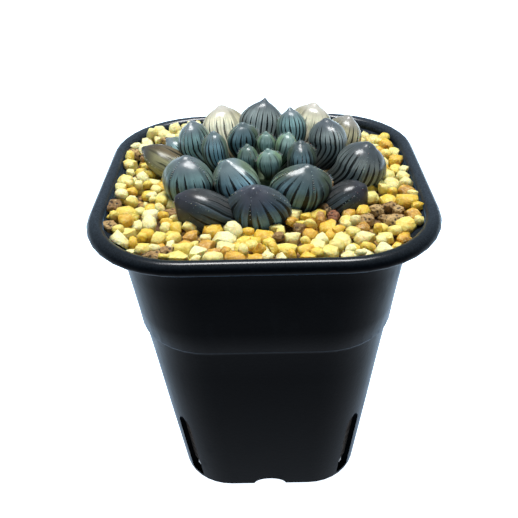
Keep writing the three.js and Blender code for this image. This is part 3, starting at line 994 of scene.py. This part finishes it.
# A stone with a few worn flats, from 0, rounded, to 1, broken
def stoneShape(seed, broken):
    random = randomRow(seed)
    deselect()
    bpy.ops.mesh.primitive_cube_add(size=stoneForm["cube"])
    stone = bpy.context.object
    edit()
    bpy.ops.mesh.subdivide(number_cuts=1)
    leaveEdit()
    rounding = stone.modifiers.new("rounding", "CAST")
    rounding.factor = mixed(stoneForm["rounding"], broken)
    rounding.size = 1.0
    applyAll(stone)
    for vertex in stone.data.vertices:
        vertex.co *= 1 + (random() - 0.5) * mixed(stoneForm["lumps"], broken)
    edit()
    for flat in range(stoneForm["flats"]):
        normal = Vector((random() - 0.5, random() - 0.5, random() - 0.5)).normalized()
        middle = normal * (mixed(stoneForm["flatAt"], broken) + stoneForm["flatDeeper"] * random())
        bpy.ops.mesh.select_all(action="SELECT")
        bpy.ops.mesh.bisect(plane_co=middle, plane_no=normal, use_fill=True, clear_outer=True)
    bpy.ops.mesh.select_all(action="SELECT")
    bpy.ops.mesh.remove_doubles(threshold=stoneForm["merge"])
    bpy.ops.mesh.normals_make_consistent(inside=False)
    leaveEdit()
    stone.scale = stretched(stoneForm["stretch"], random)
    setPlace(stone)
    smooth(stone, mixed(stoneForm["smooth"], broken))
    return stone


# A stone's kind and tone: marked, painted dark with a clinker's finish as shade under the leaves, a
# stray clinker, on the heap, or any other
def stoneKind(x, y, random):
    chance, shade = random(), random()
    for a, b, kind, tone in markedStones:
        if math.hypot(x - a, y - b) < stoneTones["markReach"]:
            return kind, tone
    # Painted shade: the stones under the leaves get a dark clinker tone
    if fromRosette(x, y) < stoneTones["shadeReach"]:
        return "clinker", stoneTones["shade"]
    if chance < stoneTones["clinkers"]:
        return "clinker", shade * stoneTones["clinker"]
    if heapReach(x, y) < 1:
        return "quartz", shade * stoneTones["heap"]
    return "quartz", shade * stoneTones["quartz"]


# Half width of the rounded square that a point is on
def squareHalf(x, y):
    high, low = max(abs(x), abs(y)), min(abs(x), abs(y))
    corner = gravel["wallCorner"]
    straight = 1 - corner
    if low <= straight * high:
        return high
    a = 2 * straight ** 2 - corner ** 2
    b = straight * (high + low)
    return (b - math.sqrt(b * b - a * (high * high + low * low))) / a


def wallAt(z):
    for (lowZ, lowHalf), (highZ, highHalf) in zip(gravel["wall"], gravel["wall"][1:]):
        if z < highZ:
            return lowHalf + (highHalf - lowHalf) * (z - lowZ) / (highZ - lowZ)
    return gravel["wall"][-1][1]


# What would reach into the pot's wall is flattened against it
def keepInside(heap):
    for vertex in heap.data.vertices:
        x, y, z = vertex.co / mm
        room = wallAt(z) - gravel["wallGap"]
        half = squareHalf(x, y)
        if half > room:
            vertex.co.x *= room / half
            vertex.co.y *= room / half


def gravelStones():
    random = randomRow(grains["seed"] + 1)
    luck = randomRow(grains["seed"] + 7)
    shapes = []
    for i in range(stoneForm["shapes"]):
        seed = stoneForm["seed"] + stoneForm["seedStep"] * i
        shapes.append(stoneShape(seed, i / (stoneForm["shapes"] - 1)))
    large = grainPlaces()
    small = fillPlaces(large)
    groups = {"quartz": [], "clinker": []}
    for i, (x, y, z, radius) in enumerate(large + small):
        sort, draw = (grains, random) if i < len(large) else (filling, luck)
        size = stretched(sort["stretch"], draw)
        spin = draw() * 2 * math.pi
        tilt = (draw() - 0.5) * sort["tilt"]
        turned = Matrix.Rotation(tilt, 4, "X") @ Matrix.Rotation(spin, 4, "Z")
        sized = Matrix.Diagonal((*(size * radius * mm), 1))
        shape = shapes[int(luck() * len(shapes)) % len(shapes)]
        kind, tone = stoneKind(x, y, luck)
        stone = copyOf(shape, Matrix.Translation(Vector((x, y, z)) * mm) @ turned @ sized)
        for name, value in (("stoneTone", tone), ("stoneLuck", luck())):
            mark = stone.data.attributes.new(name, "FLOAT", "POINT")
            mark.data.foreach_set("value", [value] * len(stone.data.vertices))
        groups[kind].append(stone)
    for shape in shapes:
        discard(shape)
    print("stones:", len(large), "large,", len(small), "small")
    heaps = {kind: joined(stones, kind + "Gravel") for kind, stones in groups.items()}
    for heap in heaps.values():
        keepInside(heap)
    return heaps


def quartzStone():
    quartz = Finish("paleQuartz")
    place = quartz.place()
    tone = quartz.attribute("stoneTone")
    luck = quartz.attribute("stoneLuck")
    stain = quartz.cloud(place, 380, 3, 0.6)
    sugar = quartz.cloud(place, 1600, 4, 0.65)
    body = quartz.add("ShaderNodeValToRGB", {"stops": [
        (0.0, (0.86, 0.81, 0.44)), (0.3, (0.81, 0.71, 0.26)), (0.5, (0.78, 0.63, 0.13)),
        (0.66, (0.77, 0.56, 0.075)), (0.8, (0.74, 0.47, 0.035)), (0.91, (0.62, 0.34, 0.035)),
        (1.0, (0.34, 0.16, 0.03)),
    ]}, {0: tone + (stain - 0.5) * 0.45})
    body = quartz.blend(stain.fade(0.56, 0.74) * 0.6, body, (0.74, 0.4, 0.05))
    body = quartz.blend(sugar.fade(0.5, 0.66) * 0.3, body, (0.87, 0.8, 0.45))
    body = quartz.blend(sugar.fade(0.46, 0.34) * 0.5, body, (0.62, 0.36, 0.08))
    return quartz.set({
        "Base Color": body,
        "Roughness": 0.24 + luck * 0.24 + stain * 0.1,
        "Subsurface Weight": 0.5,
        "Subsurface Radius": (1.0, 0.75, 0.35),
        "Subsurface Scale": 0.0012,
        "Normal": quartz.bump(quartz.cloud(place, 450, 4) + sugar * 0.5, 0.0008, 0.85),
    })


def clinkerStone():
    clinker = Finish("brownClinker")
    place = clinker.place()
    tone = clinker.attribute("stoneTone")
    pits = clinker.cells(place, 1000)
    fleck = clinker.cloud(place, 1100, 3, 0.7)
    body = clinker.add("ShaderNodeValToRGB", {"stops": [
        (0.0, (0.13, 0.065, 0.022)), (0.35, (0.3, 0.17, 0.06)), (0.7, (0.5, 0.33, 0.13)),
        (1.0, (0.16, 0.028, 0.014)),
    ]}, {0: tone})
    body = clinker.blend(fleck.fade(0.5, 0.7) * 0.7 * tone.fade(1, 0.8), body, (0.62, 0.46, 0.22))
    # Painted shade in the pits
    body = clinker.blend(pits.fade(0.45, 0.2) * 0.9, body, (0.02, 0.012, 0.008))
    return clinker.set({
        "Base Color": body,
        "Roughness": 0.7 + fleck * 0.2,
        "Normal": clinker.bump(pits + fleck, 0.0006, 0.95),
    })


# The layer of grit that shows in the gaps between the stones, as wide as the wall at each height.
# Its dark brown is partly painted shade for the gaps.
bed = {
    "under": (32.0, 78.6),
    "sides": [(33.2, 81.0), (33.8, 81.8)],
    "insets": [(7, -0.4), (8, -0.2), (8, 0)],
    "cornerSteps": 8,
    "cuts": 2,
    "heapInset": 0.4,
    "smooth": 40,
}


def gritBed():
    deselect()
    half, height = bed["under"]
    bpy.ops.mesh.primitive_plane_add(size=2 * half * mm, location=(0, 0, height * mm))
    grit = bpy.context.object
    setPlace(grit)
    edit()
    corner = half * gravel["wallCorner"] * mm
    bpy.ops.mesh.bevel(offset=corner, segments=bed["cornerSteps"], affect="VERTICES")
    bpy.ops.mesh.select_all(action="SELECT")
    bpy.ops.mesh.flip_normals()
    bpy.ops.mesh.select_mode(type="EDGE")
    bpy.ops.mesh.select_all(action="SELECT")
    here = bed["under"]
    for there in bed["sides"]:
        growEdge(here, there)
        here = there
    bpy.ops.mesh.edge_face_add()
    bpy.ops.mesh.select_mode(type="FACE")
    for thickness, depth in bed["insets"]:
        bpy.ops.mesh.inset(thickness=thickness * mm, depth=depth * mm)
    bpy.ops.mesh.poke()
    bpy.ops.mesh.select_all(action="SELECT")
    bpy.ops.mesh.subdivide(number_cuts=bed["cuts"])
    bpy.ops.mesh.normals_make_consistent(inside=False)
    leaveEdit()
    deselect()
    bpy.ops.mesh.primitive_uv_sphere_add(segments=32, ring_count=16, radius=mm)
    heap = bpy.context.object
    heap.scale = [value - bed["heapInset"] for value in gravel["heapSize"]]
    heap.location = [value * mm for value in gravel["heap"]]
    setPlace(heap)
    grit = joined([grit, heap], "gritBed")
    keepInside(grit)
    smooth(grit, bed["smooth"])
    return grit


def shadedGrit():
    grit = Finish("shadedGapGrit")
    place = grit.place()
    crumbs = grit.cells(place, 700)
    patch = grit.cloud(place, 500, 3)
    # Painted shade: the grit is darker than the stones, for the shade in the gaps
    body = grit.blend(patch.fade(0.35, 0.6), (0.2, 0.1, 0.025), (0.45, 0.28, 0.07))
    return grit.set({
        "Base Color": grit.blend(crumbs.fade(0.3, 0.6), body, (0.1, 0.05, 0.015)),
        "Roughness": 0.85,
        "Normal": grit.bump(crumbs, 0.0006, 0.9),
    })


stones = gravelStones()
finishPiece(stones["quartz"], quartzStone(), ["gravel"])
finishPiece(stones["clinker"], clinkerStone(), ["gravel"])
finishPiece(gritBed(), shadedGrit(), ["gravel"])
print("gravel made")


# The source's own soil and stem keep their shapes. The other solids get the finishes of the pieces
# that are made over them.
def pottingSoil():
    soil = Finish("pottingSoil")
    place = soil.place()
    crumbs = soil.cells(place, 450)
    damp = soil.cloud(place, 90, 4)
    body = soil.blend(damp.fade(0.35, 0.65), (0.006, 0.004, 0.003), (0.018, 0.011, 0.007))
    return soil.set({
        "Base Color": soil.blend(crumbs.fade(0.5, 0.8) * 0.4, body, (0.035, 0.024, 0.016)),
        "Roughness": 0.9,
        "Normal": soil.bump(crumbs + damp, 0.0008, 0.9),
    })


def stemBark():
    bark = Finish("stemBark")
    x, y, z = bark.split(bark.place())
    scars = bark.cloud(bark.join(x * 150, y * 150, z * 900), 1.0, 2)
    return bark.set({
        "Base Color": bark.blend(scars.fade(0.4, 0.6), (0.05, 0.08, 0.04), (0.1, 0.14, 0.07)),
        "Roughness": 0.6 + scars * 0.2,
        "Normal": bark.bump(scars, 0.0002, 0.8),
    })


def dress(node, material):
    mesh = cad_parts[node].data
    mesh.materials.clear()
    mesh.materials.append(material)


dress("soil", pottingSoil())
dress("stem", stemBark())
dress("pot", bpy.data.materials["blackPotPlastic"])
dress("gravel", bpy.data.materials["paleQuartz"])
for number, leaf in enumerate(leaves, 1):
    dress(f"leaf_{number:02d}", leafMaterials[leaf["look"]])
print("solids dressed")

# Floor and light
studio = {
    "floor": 4.0,
    "glow": 2.8,
    "glowFront": (0.365, 0.385, 0.42),
    "glowBack": (0.77, 0.94, 1.1),
    "glowTurn": (-0.04, 0.03),
    "shadowGlow": (0.004, 0.005, 0.006),
    "potShadowEdge": (0.0233, 0.0224),
    "notchEdge": (0.006, 0.0045),
    "notchReach": (0.019, 0.0212),
    "world": 0.32,
    "worldTint": (0.66, 0.84, 1.0),
    "key": 8.0,
    "keyWay": (0.0, 0.2, 0.98),
    "keyFar": 0.7,
    "keyAim": 0.08,
    "keySize": (0.34, 0.22),
}


# The floor glows, more behind the pot than in front. Under the pot the glow is dark, a painted
# shadow, but for painted light that falls in through the notches.
def paleFloor():
    deselect()
    bpy.ops.mesh.primitive_plane_add(size=studio["floor"])
    floor = bpy.context.object
    floor.name = "studioFloor"
    paper = Finish("glowingPaper")
    fibre = paper.cloud(paper.place(), 300, 2)
    x, y, z = paper.split(paper.place())
    glow = paper.blend(y.fade(*studio["glowTurn"]), studio["glowFront"], studio["glowBack"])
    across, along = abs(x), abs(y)
    half = (across ** 4 + along ** 4) ** 0.25
    # Painted light through the notches and painted shadow under the pot
    notches = across.fade(*studio["notchEdge"]) + along.fade(*studio["notchEdge"])
    under = half.fade(*studio["potShadowEdge"]) * (1 - notches * half.fade(*studio["notchReach"]))
    floor.data.materials.append(paper.set({
        "Base Color": paper.blend(fibre, (0.04, 0.045, 0.05), (0.06, 0.065, 0.07)),
        "Roughness": 0.9,
        "Specular IOR Level": 0.1,
        "Emission Color": paper.blend(under, glow, studio["shadowGlow"]),
        "Emission Strength": studio["glow"],
    }))


paleFloor()
way = Vector(studio["keyWay"]).normalized()
aim = Vector((0, 0, studio["keyAim"]))
bpy.ops.object.light_add(type="AREA", location=way * studio["keyFar"] + aim)
key = bpy.context.object
key.rotation_euler = way.to_track_quat("Z", "Y").to_euler()
key.data.shape = "RECTANGLE"
key.data.size, key.data.size_y = studio["keySize"]
key.data.energy = studio["key"]
scene.world = bpy.data.worlds.new("studioWhite")
scene.world.use_nodes = True
sky = scene.world.node_tree.nodes["Background"]
sky.inputs["Color"].default_value = (*studio["worldTint"], 1)
sky.inputs["Strength"].default_value = studio["world"]
scene.view_settings.view_transform = "Standard"
print("studio set")
